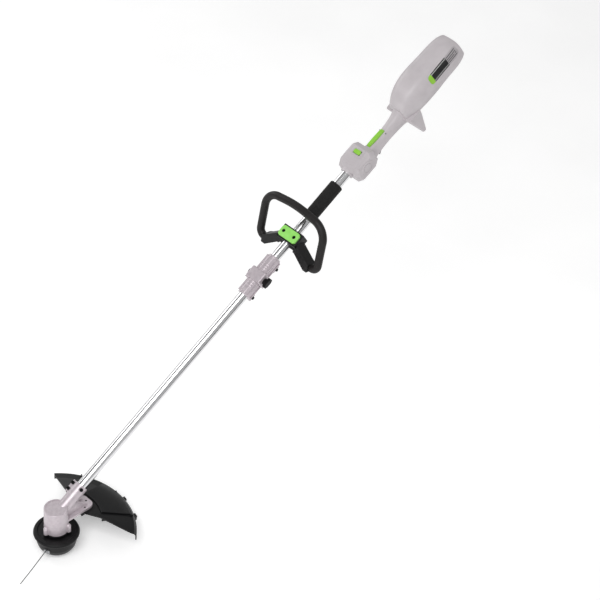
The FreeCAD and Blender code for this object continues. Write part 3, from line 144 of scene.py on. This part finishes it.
def mottle(tree, place, size_mm, low, high, detail=3.0):
    """Noise of a given patch size, turned into a number between low and high."""
    noise = node(tree, "ShaderNodeTexNoise", Vector=(place, "Object"), Scale=1 / (size_mm * MM),
                 Detail=detail)
    return node(tree, "ShaderNodeMapRange", Value=(noise, "Fac"), i1=0.3, i2=0.7, i3=low, i4=high)


def tint(tree, amount, dark, light):
    """A colour that runs from dark to light as the amount runs from 0 to 1."""
    return node(tree, "ShaderNodeMix", {"data_type": "RGBA"}, i0=amount, i6=linear(dark),
                i7=linear(light))


def grain(tree, shader, place, size_mm, depth_mm, strength=1.0, kind="noise"):
    """Fine relief on the surface: moulded texture, casting skin or foam cells."""
    if kind == "cells":
        cells = node(tree, "ShaderNodeTexVoronoi", Vector=(place, "Object"), Scale=1 / (size_mm * MM))
        height = (cells, "Distance")
    else:
        noise = node(tree, "ShaderNodeTexNoise", Vector=(place, "Object"),
                     Scale=1 / (size_mm * MM), Detail=4.0)
        height = (noise, "Fac")
    bump = node(tree, "ShaderNodeBump", Strength=strength, Distance=depth_mm * MM, Height=height)
    link(tree, bump, "Normal", shader, "Normal")
    return bump


# %% [markdown]
# The housings are ABS moulded in a spark-eroded tool: a warm pale grey with a soft sheen and a
# very fine texture. The real grain is about 0.1 mm, too fine to show from here, so it is drawn
# at 0.6 mm. A little cloudiness keeps large faces from looking like flat paint.

# %% Moulded plastics
def moulded(name, dark, light, rough, grain_mm=0.6, depth_mm=0.02, cloud_mm=30, shine=0.5):
    item, tree, shader, place = new_material(name)
    cloud = mottle(tree, place, cloud_mm, 0, 1)
    colour = tint(tree, (cloud, "Result"), dark, light)
    link(tree, colour, "Result", shader, "Base Color")
    sheen = mottle(tree, place, cloud_mm * 0.3, rough - 0.05, rough + 0.05)
    link(tree, sheen, "Result", shader, "Roughness")
    grain(tree, shader, place, grain_mm, depth_mm)
    shader.inputs["IOR"].default_value = 1.5
    shader.inputs["Specular IOR Level"].default_value = shine
    return item


# The housing grey also carries a painted shade, near black, under the vents; it is added below with
# the inlay.
abs_grey_and_vent_shade = moulded("abs_warm_grey_and_vent_shade", "b9b3b6", "c2bcbf", 0.42)
# The trigger takes the housing grey darkened to the tone of its shaded side: a painted shade.
abs_painted_shade_grey = moulded("abs_grey_painted_shade", "8f8a8c", "999496", 0.45)
nylon_black = moulded("glass_filled_nylon_black", "0b0b0c", "131314", 0.42, 0.8, 0.03, 12, 0.28)
pp_black = moulded("polypropylene_black", "0b0b0c", "121213", 0.36, 1.0, 0.03, 20, 0.28)
lime_cap = moulded("lime_green_nylon", "8fdc62", "9be572", 0.40, 0.6, 0.02, 15)
lime_key = moulded("lime_green_abs", "86c63a", "93d048", 0.42, 0.6, 0.02, 15)
circuit_lacquer = moulded("circuit_board_lacquer", "0f5a2c", "15703a", 0.3, 1.2, 0.02, 6)
print("plastics ready")


# %% [markdown]
# The long side inlay is one gloss panel with a plain printed pattern: a green block at its
# front end and a thin pale border, with nothing written in it. The pattern is measured in
# millimetres along the hood and round its flank, so it follows the panel's curve.

# %% The printed inlay
INLAY_AXIS = 17.0
INLAY_ROLL = math.radians(30)
FLANK_RADIUS = 48.0
PATCH_END = 1450.0
WINDOW_MIDDLE, WINDOW_HALF = 1476.0, 22.0
BORDER_FROM_MIDDLE, BORDER_HALF = 10.4, 0.6
VENTS_MIDDLE, VENTS_HALF, VENTS_REACH = 1526.0, 18.5, 12.0


def maths(tree, operation, first, second=0.0):
    """One arithmetic node, given as the pair that links from its result."""
    return node(tree, "ShaderNodeMath", {"operation": operation}, i0=first, i1=second), 0


def hood_position(tree, place):
    """Millimetres along the shaft, and millimetres round the flank from the inlay's middle."""
    local = node(tree, "ShaderNodeMapping", {"vector_type": "TEXTURE"}, Vector=(place, "Object"),
                 Location=(0, 0, AXIS_HEIGHT), Rotation=(0, -TILT, 0), Scale=(MM, MM, MM))
    axes = node(tree, "ShaderNodeSeparateXYZ", Vector=(local, "Vector"))
    height = maths(tree, "SUBTRACT", (axes, "Z"), INLAY_AXIS)
    turn = maths(tree, "ARCTAN2", height, maths(tree, "ABSOLUTE", (axes, "Y")))
    from_middle = maths(tree, "SUBTRACT", turn, INLAY_ROLL)
    return (axes, "X"), maths(tree, "ABSOLUTE", maths(tree, "MULTIPLY", from_middle, FLANK_RADIUS))


def distance_from(tree, value, middle):
    return maths(tree, "ABSOLUTE", maths(tree, "SUBTRACT", value, middle))


def printed_inlay(name):
    item, tree, shader, place = new_material(name)
    along, round_flank = hood_position(tree, place)
    out = maths(tree, "SUBTRACT", distance_from(tree, along, WINDOW_MIDDLE), WINDOW_HALF)
    reach = maths(tree, "MAXIMUM", out, round_flank)
    border = node(tree, "ShaderNodeMath", {"operation": "COMPARE"}, i0=reach, i1=BORDER_FROM_MIDDLE,
                  i2=BORDER_HALF)
    window = tint(tree, (border, 0), "1a1a1b", "dededc")
    patched = node(tree, "ShaderNodeMix", {"data_type": "RGBA"},
                   i0=maths(tree, "LESS_THAN", along, PATCH_END), i6=(window, "Result"),
                   i7=linear("8fc63f"))
    printed = node(tree, "ShaderNodeMix", {"data_type": "RGBA"},
                   i0=maths(tree, "GREATER_THAN", along, VENTS_MIDDLE - VENTS_HALF),
                   i6=(patched, "Result"), i7=linear("a8a3a6"))
    link(tree, printed, "Result", shader, "Base Color")
    sheen = mottle(tree, place, 9, 0.25, 0.35)
    link(tree, sheen, "Result", shader, "Roughness")
    grain(tree, shader, place, 0.8, 0.01)
    return item


def paint_vent_shade(item):
    """Paint near-black shade on the shell under the vents, whose slots here are only 2.5 mm deep: a
    painted shade in place of the dark inside open slots.
    """
    tree = item.node_tree
    shader = next(entry for entry in tree.nodes if entry.type == "BSDF_PRINCIPLED")
    place = next(entry for entry in tree.nodes if entry.type == "TEX_COORD")
    base = shader.inputs["Base Color"].links[0].from_node
    along, round_flank = hood_position(tree, place)
    inside = maths(tree, "MULTIPLY",
                   maths(tree, "LESS_THAN", distance_from(tree, along, VENTS_MIDDLE), VENTS_HALF),
                   maths(tree, "LESS_THAN", round_flank, VENTS_REACH))
    shade = node(tree, "ShaderNodeMix", {"data_type": "RGBA"}, i0=inside, i6=(base, "Result"),
                 i7=linear("141414"))
    link(tree, shade, "Result", shader, "Base Color")


# Painted shade: the shell under the vents is coloured near black, as the inside of open slots would
# look.
paint_vent_shade(abs_grey_and_vent_shade)
inlay = printed_inlay("printed_gloss_inlay")
print("inlay ready")


# %% [markdown]
# The loop handle is dipped in soft rubber and the sleeve is closed-cell foam. Rubber is dark,
# never quite black, with a broad highlight. Foam shows its cells, about a millimetre across,
# and hardly shines at all.

# %% Rubber and foam
def soft_black(name, dark, light, rough, cell_mm, depth_mm, kind):
    item, tree, shader, place = new_material(name)
    patch = mottle(tree, place, cell_mm * 3, 0, 1)
    colour = tint(tree, (patch, "Result"), dark, light)
    link(tree, colour, "Result", shader, "Base Color")
    sheen = mottle(tree, place, cell_mm * 8, rough - 0.06, rough + 0.06)
    link(tree, sheen, "Result", shader, "Roughness")
    grain(tree, shader, place, cell_mm, depth_mm, 1.0, kind)
    shader.inputs["Specular IOR Level"].default_value = 0.3
    return item


dipped_rubber = soft_black("dipped_rubber", "171515", "201d1d", 0.5, 0.9, 0.04, "noise")
eva_foam = soft_black("eva_foam", "121212", "1e1d1d", 0.8, 1.3, 0.25, "cells")
print("rubber and foam ready")


# %% [markdown]
# The tubes are drawn aluminium, polished and clear-anodised. Drawing leaves faint lines along
# the tube, which stretch reflections around it. The pattern is noise squeezed across the shaft
# and stretched along it, in the shaft's own direction. The castings are lacquered silver over
# an orange-peel skin.

# %% Metals
def drawn_tube(name, light, dark, rough):
    item, tree, shader, place = new_material(name)
    along = node(tree, "ShaderNodeMapping", {"vector_type": "TEXTURE"}, Vector=(place, "Object"),
                 Rotation=(0, -TILT, 0), Scale=(400 * MM, 1.2 * MM, 1.2 * MM))
    lines = node(tree, "ShaderNodeTexNoise", Vector=(along, "Vector"), Scale=1.0, Detail=3.0)
    amount = node(tree, "ShaderNodeMapRange", Value=(lines, "Fac"), i1=0.3, i2=0.7)
    colour = tint(tree, (amount, "Result"), dark, light)
    link(tree, colour, "Result", shader, "Base Color")
    sheen = node(tree, "ShaderNodeMapRange", Value=(lines, "Fac"), i1=0.3, i2=0.7, i3=rough - 0.05,
                 i4=rough + 0.07)
    link(tree, sheen, "Result", shader, "Roughness")
    bump = node(tree, "ShaderNodeBump", Strength=0.25, Distance=0.02 * MM, Height=(lines, "Fac"))
    link(tree, bump, "Normal", shader, "Normal")
    shader.inputs["Metallic"].default_value = 1.0
    return item


def metal(name, dark, light, rough, metallic=1.0, peel_mm=1.5, depth_mm=0.03, patch_mm=8):
    item, tree, shader, place = new_material(name)
    patch = mottle(tree, place, patch_mm, 0, 1)
    colour = tint(tree, (patch, "Result"), dark, light)
    link(tree, colour, "Result", shader, "Base Color")
    sheen = mottle(tree, place, patch_mm * 0.5, rough - 0.05, rough + 0.06)
    link(tree, sheen, "Result", shader, "Roughness")
    grain(tree, shader, place, peel_mm, depth_mm)
    shader.inputs["Metallic"].default_value = metallic
    return item


tube_metal = drawn_tube("drawn_aluminium_tube", "e9e9ea", "cfcfd1", 0.16)
cast_lacquer = metal("silver_lacquered_casting", "bcb2b8", "cac1c6", 0.36, 0.35)
turned_steel = metal("turned_steel", "8d8e90", "a7a8aa", 0.28)
black_oxide = metal("black_oxide_steel", "101011", "1b1b1d", 0.42, 0.7, 0.8, 0.02, 3)
blade_steel = metal("ground_spring_steel", "9a9b9d", "b9babc", 0.25)
copper_wire = metal("enamelled_copper", "8a3f1d", "a85528", 0.35)
print("metals ready")


# %% [markdown]
# Cutting line is extruded nylon, thin and slightly see-through at its edge. Grey suits it, with
# fine drag marks along its length.

# %% Cutting line
cut_line = moulded("extruded_nylon_line", "4b4e4e", "6a6d6c", 0.4, 0.5, 0.02, 4)


# %% [markdown]
# Each design node keeps its shape and takes the finish of the real piece.

# %% Give every node its finish
FINISHES = [
    (abs_grey_and_vent_shade, "housing_left housing_right hub_discs"),
    (abs_painted_shade_grey, "trigger"),
    (lime_key, "lock_off_lever power_button"),
    (lime_cap, "handle_cover"),
    (nylon_black, "bump_knob spool head_cup head_cover housing_base handle_bracket"
     " handle_clamp wing_knob release_button battery_latch eject_plunger"
     " terminal_block switch_module shaft_bushes motor_fan"),
    (pp_black, "guard"),
    (dipped_rubber, "loop_handle"),
    (eva_foam, "foam_sleeve"),
    (tube_metal, "lower_tube upper_tube"),
    (cast_lacquer, "gear_housing coupler_body motor_end_plates"),
    (turned_steel, "spool_spring line_eyelets bevel_gear bevel_pinion output_spindle"
     " spindle_bearings pinion_bearings bearing_circlip lower_drive_rod upper_drive_rod"
     " rod_sleeve motor_rotor motor_bearings pivot_pins"),
    (blade_steel, "line_cutter_blade"),
    (black_oxide, "case_screws neck_clamp_screws neck_locating_screw guard_screws"
     " blade_screws coupler_bolts handle_bolts housing_screws"),
    (cut_line, "wound_line line_end_front line_end_rear"),
    (copper_wire, "motor_stator"),
    (circuit_lacquer, "controller_board"),
    (inlay, "badge_panels"),
]
for finish, names in FINISHES:
    for name in names.split():
        nodes[name].data.materials.clear()
        nodes[name].data.materials.append(finish)
print("finished", sum(len(names.split()) for finish, names in FINISHES), "nodes")


# %% [markdown]
# The two free ends of cutting line are cords: stiff nylon of 2.4 mm, straight out of their
# eyelets, with the slightest droop. Each is a smooth spline through the same route points as
# in the design, given here again in metres.

# %% Line ends
LINE_ANGLE = math.radians(199)
LINE_ROUTE = [(0.049, 0, 0.028), (0.084, 0.0012, 0.0272), (0.127, 0.0026, 0.0252),
              (0.168, 0.0016, 0.0218)]
LINE_WIDTH = 2.4 * MM


def line_end(name, turn):
    route = [Matrix.Rotation(LINE_ANGLE + turn, 3, "Z") @ Vector(point) for point in LINE_ROUTE]
    curve = bpy.data.curves.new(name, "CURVE")
    curve.dimensions = "3D"
    spline = curve.splines.new("NURBS")
    spline.points.add(len(route) - 1)
    for point, place in zip(spline.points, route):
        point.co = (*place, 1)
    spline.order_u = 3
    spline.use_endpoint_u = True
    spline.resolution_u = 16
    curve.bevel_depth = LINE_WIDTH / 2
    curve.bevel_resolution = 4
    curve.use_fill_caps = True
    curve.materials.append(cut_line)
    piece = bpy.data.objects.new(name, curve)
    bpy.context.scene.collection.objects.link(piece)
    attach(piece, "line_head")
    return piece


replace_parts(line_end("cutting_line_front", 0), "line_end_front")
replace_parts(line_end("cutting_line_rear", math.pi), "line_end_rear")

# %% [markdown]
# The rest are small pieces that the design leaves out. Each is drawn in millimetres, as a
# bevelled block, a cut-out frame or a swept outline, and then carried to its place.

# %% Piece helpers
def piece(name, shape, body, finish, slot, place=SHAFT_MM):
    bmesh.ops.recalc_face_normals(shape, faces=shape.faces)
    data = bpy.data.meshes.new(name)
    shape.to_mesh(data)
    shape.free()
    data.transform(place)
    data.materials.append(finish)
    data.shade_smooth()
    data.set_sharp_from_angle(angle=math.radians(35))
    item = bpy.data.objects.new(name, data)
    bpy.context.scene.collection.objects.link(item)
    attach(item, body)
    print(name, len(data.polygons), "faces")
    return item


def block(shape, low, high, round_off):
    """Add a block with rounded edges between two corners."""
    low, high = Vector(low), Vector(high)
    made = bmesh.ops.create_cube(shape, size=1, matrix=Matrix.LocRotScale(
        (low + high) / 2, None, high - low))
    edges = {edge for vert in made["verts"] for edge in vert.link_edges}
    bmesh.ops.bevel(shape, geom=list(edges), offset=round_off, segments=3, profile=0.5,
                    affect="EDGES", material=-1)


def sweep(shape, outline, axis, first, last, steps):
    """Turn a closed outline of (distance, height) points about an axis and close its ends."""
    along = Vector((1, 0, 0)) if axis == "X" else Vector((0, 0, 1))
    out = Vector((0, 0, 1)) if axis == "X" else Vector((1, 0, 0))
    corners = [shape.verts.new(out * distance + along * height) for distance, height in outline]
    edges = [shape.edges.new((corners[i - 1], corners[i])) for i in range(len(corners))]
    bmesh.ops.rotate(shape, verts=corners, matrix=Matrix.Rotation(first, 3, axis))
    bmesh.ops.spin(shape, geom=corners + edges, axis=along, angle=last - first, steps=steps)
    bmesh.ops.remove_doubles(shape, verts=shape.verts, dist=0.001)
    bmesh.ops.holes_fill(shape, edges=[edge for edge in shape.edges if edge.is_boundary])


# %% [markdown]
# The guard's middle third stands proud of its two wings, so the fan reads as three folded
# panels. The line head's flange carries a raised band.

# %% Guard fold and flange band
fold = bmesh.new()
sweep(fold, [(114, 88.6), (114, 91.6), (117, 92.4), (168, 74), (188, 68.4), (190, 66), (190, 62.4),
             (171, 67.4)], "Z", math.radians(-27), math.radians(13), 40)
piece("guard_fold", fold, "root", pp_black, "black_plastic", HEAD_MM)
band = bmesh.new()
sweep(band, [(55, 51.4), (57.6, 52), (58, 53), (58, 54.4), (57.6, 55.2), (55, 55.6)], "Z", 0,
      2 * math.pi, 96)
piece("flange_band", band, "line_head", nylon_black, "black_plastic", HEAD_MM)


# %% [markdown]
# A small pale wear plate sits beside each line eyelet on the cup's wall.

# %% Wear plates
plates = bmesh.new()
for turn in (0, math.pi):
    before = set(plates.verts)
    block(plates, (48.6, 4.5, 22), (50.9, 11, 33), 0.6)
    bmesh.ops.rotate(plates, verts=[vert for vert in plates.verts if vert not in before],
                     matrix=Matrix.Rotation(LINE_ANGLE + turn, 3, "Z"))
piece("wear_plates", plates, "line_head", turned_steel, "steel", HEAD_MM)


# %% [markdown]
# On the coupler, raised rings circle the barrel and two black bars close the release block.

# %% Coupler details
rings = bmesh.new()
for station in (744, 751, 758, 800, 807, 814, 838):
    sweep(rings, [(15, station), (17.9, station + 0.4), (17.9, station + 2.2), (15, station + 2.6)],
          "X", 0, 2 * math.pi, 64)
piece("coupler_rings", rings, "root", cast_lacquer, "cast_silver")
bars = bmesh.new()
for station in (761.5, 792.5):
    block(bars, (station, 23, -8), (station + 4, 29.2, 8), 1)
piece("coupler_bars", bars, "root", nylon_black, "black_plastic")


# %% [markdown]
# A low frame with a bevelled edge surrounds the oval power key on the hub's top.

# %% Hub key frame
surround = bmesh.new()
bmesh.ops.create_cube(surround, size=1, matrix=Matrix.LocRotScale(
    Vector((1184, 0, 26)), None, Vector((26, 36, 2))))
caps = [face for face in surround.faces if abs(face.normal.z) > 0.9]
bmesh.ops.inset_individual(surround, faces=caps, thickness=6.3)
bmesh.ops.delete(surround, geom=caps, context="FACES_ONLY")
bmesh.ops.bridge_loops(surround, edges=[edge for edge in surround.edges if edge.is_boundary])
rims = [edge for edge in surround.edges if all(vert.co.z > 26.9 for vert in edge.verts)
        or edge.calc_length() < 2.1]
bmesh.ops.bevel(surround, geom=rims, offset=0.7, segments=3, profile=0.5, affect="EDGES",
                material=-1)
piece("key_surround", surround, "root", abs_grey_and_vent_shade, "housing_grey")


# %% [markdown]
# A plain floor and soft lights finish the stage. Two long soft boxes stand either side,
# because a polished tube shows nothing but the reflection of what is round it. Two dark cards
# give it something dark to reflect, and the floor glows faintly so that it stays pale.

# %% Floor and lights
def build_stage():
    shape = bmesh.new()
    bmesh.ops.create_grid(shape, x_segments=2, y_segments=2, size=12)
    data = bpy.data.meshes.new("floor")
    shape.to_mesh(data)
    shape.free()
    floor = bpy.data.objects.new("floor", data)
    bpy.context.scene.collection.objects.link(floor)
    finish, tree, shader, place = new_material("pale_floor")
    cloud = mottle(tree, place, 400, 0, 1)
    colour = tint(tree, (cloud, "Result"), "f4f4f4", "f8f8f8")
    link(tree, colour, "Result", shader, "Base Color")
    shader.inputs["Roughness"].default_value = 0.8
    link(tree, colour, "Result", shader, "Emission Color")
    shader.inputs["Emission Strength"].default_value = 0.28
    data.materials.append(finish)


def soft_box(name, place, aim, size, power):
    data = bpy.data.lights.new(name, "AREA")
    data.shape = "RECTANGLE"
    data.size, data.size_y = size
    data.energy = power
    lamp = bpy.data.objects.new(name, data)
    lamp.location = place
    lamp.rotation_euler = (Vector(aim) - Vector(place)).to_track_quat("-Z", "Y").to_euler()
    bpy.context.scene.collection.objects.link(lamp)


def dark_card(name, turn, width):
    """A long dark strip beside the shaft that the polished tube reflects as a thin streak.

    It is out of sight of every camera, and only reflections show it.
    """
    toward = camera.matrix_world.to_3x3() @ Vector((0, 0, 1))
    lean = toward.dot(UP_SHAFT)
    across = (toward - UP_SHAFT * lean).normalized()
    way = Matrix.Rotation(math.radians(turn), 3, UP_SHAFT) @ across
    middle = SHAFT_MM @ Vector((600, 0, 0)) + way * 1.3 - UP_SHAFT * lean * 1.3
    shape = bmesh.new()
    bmesh.ops.create_grid(shape, x_segments=1, y_segments=1, size=0.5)
    data = bpy.data.meshes.new(name)
    shape.to_mesh(data)
    shape.free()
    facing = Matrix((UP_SHAFT, way.cross(UP_SHAFT), way)).transposed().to_4x4()
    data.transform(Matrix.Translation(middle) @ facing @ Matrix.Diagonal((2.6, width, 1, 1)))
    finish, tree, shader, place = new_material(name + "_felt")
    cloud = mottle(tree, place, 60, 0, 1)
    colour = tint(tree, (cloud, "Result"), "060606", "0c0c0c")
    link(tree, colour, "Result", shader, "Base Color")
    shader.inputs["Roughness"].default_value = 0.95
    data.materials.append(finish)
    card = bpy.data.objects.new(name, data)
    bpy.context.scene.collection.objects.link(card)
    card.visible_camera = False


build_stage()
dark_card("streak_card_left", 75, 0.35)
dark_card("streak_card_right", -60, 0.45)
TARGET = (0.65, 0, 0.45)
soft_box("key", (-1.6, -1.2, 3.2), TARGET, (2.2, 2.2), 78)
soft_box("fill", (2.4, -2.2, 2.4), TARGET, (2.0, 2.0), 8)
soft_box("rim", (0.4, 3.0, 2.2), TARGET, (3.0, 1.2), 28)
world = bpy.data.worlds.new("studio")
bpy.context.scene.world = world
world.use_nodes = True
backdrop = world.node_tree.nodes["Background"]
backdrop.inputs["Color"].default_value = (1, 1, 1, 1)
backdrop.inputs["Strength"].default_value = 0.5
bpy.context.scene.view_settings.view_transform = "Standard"
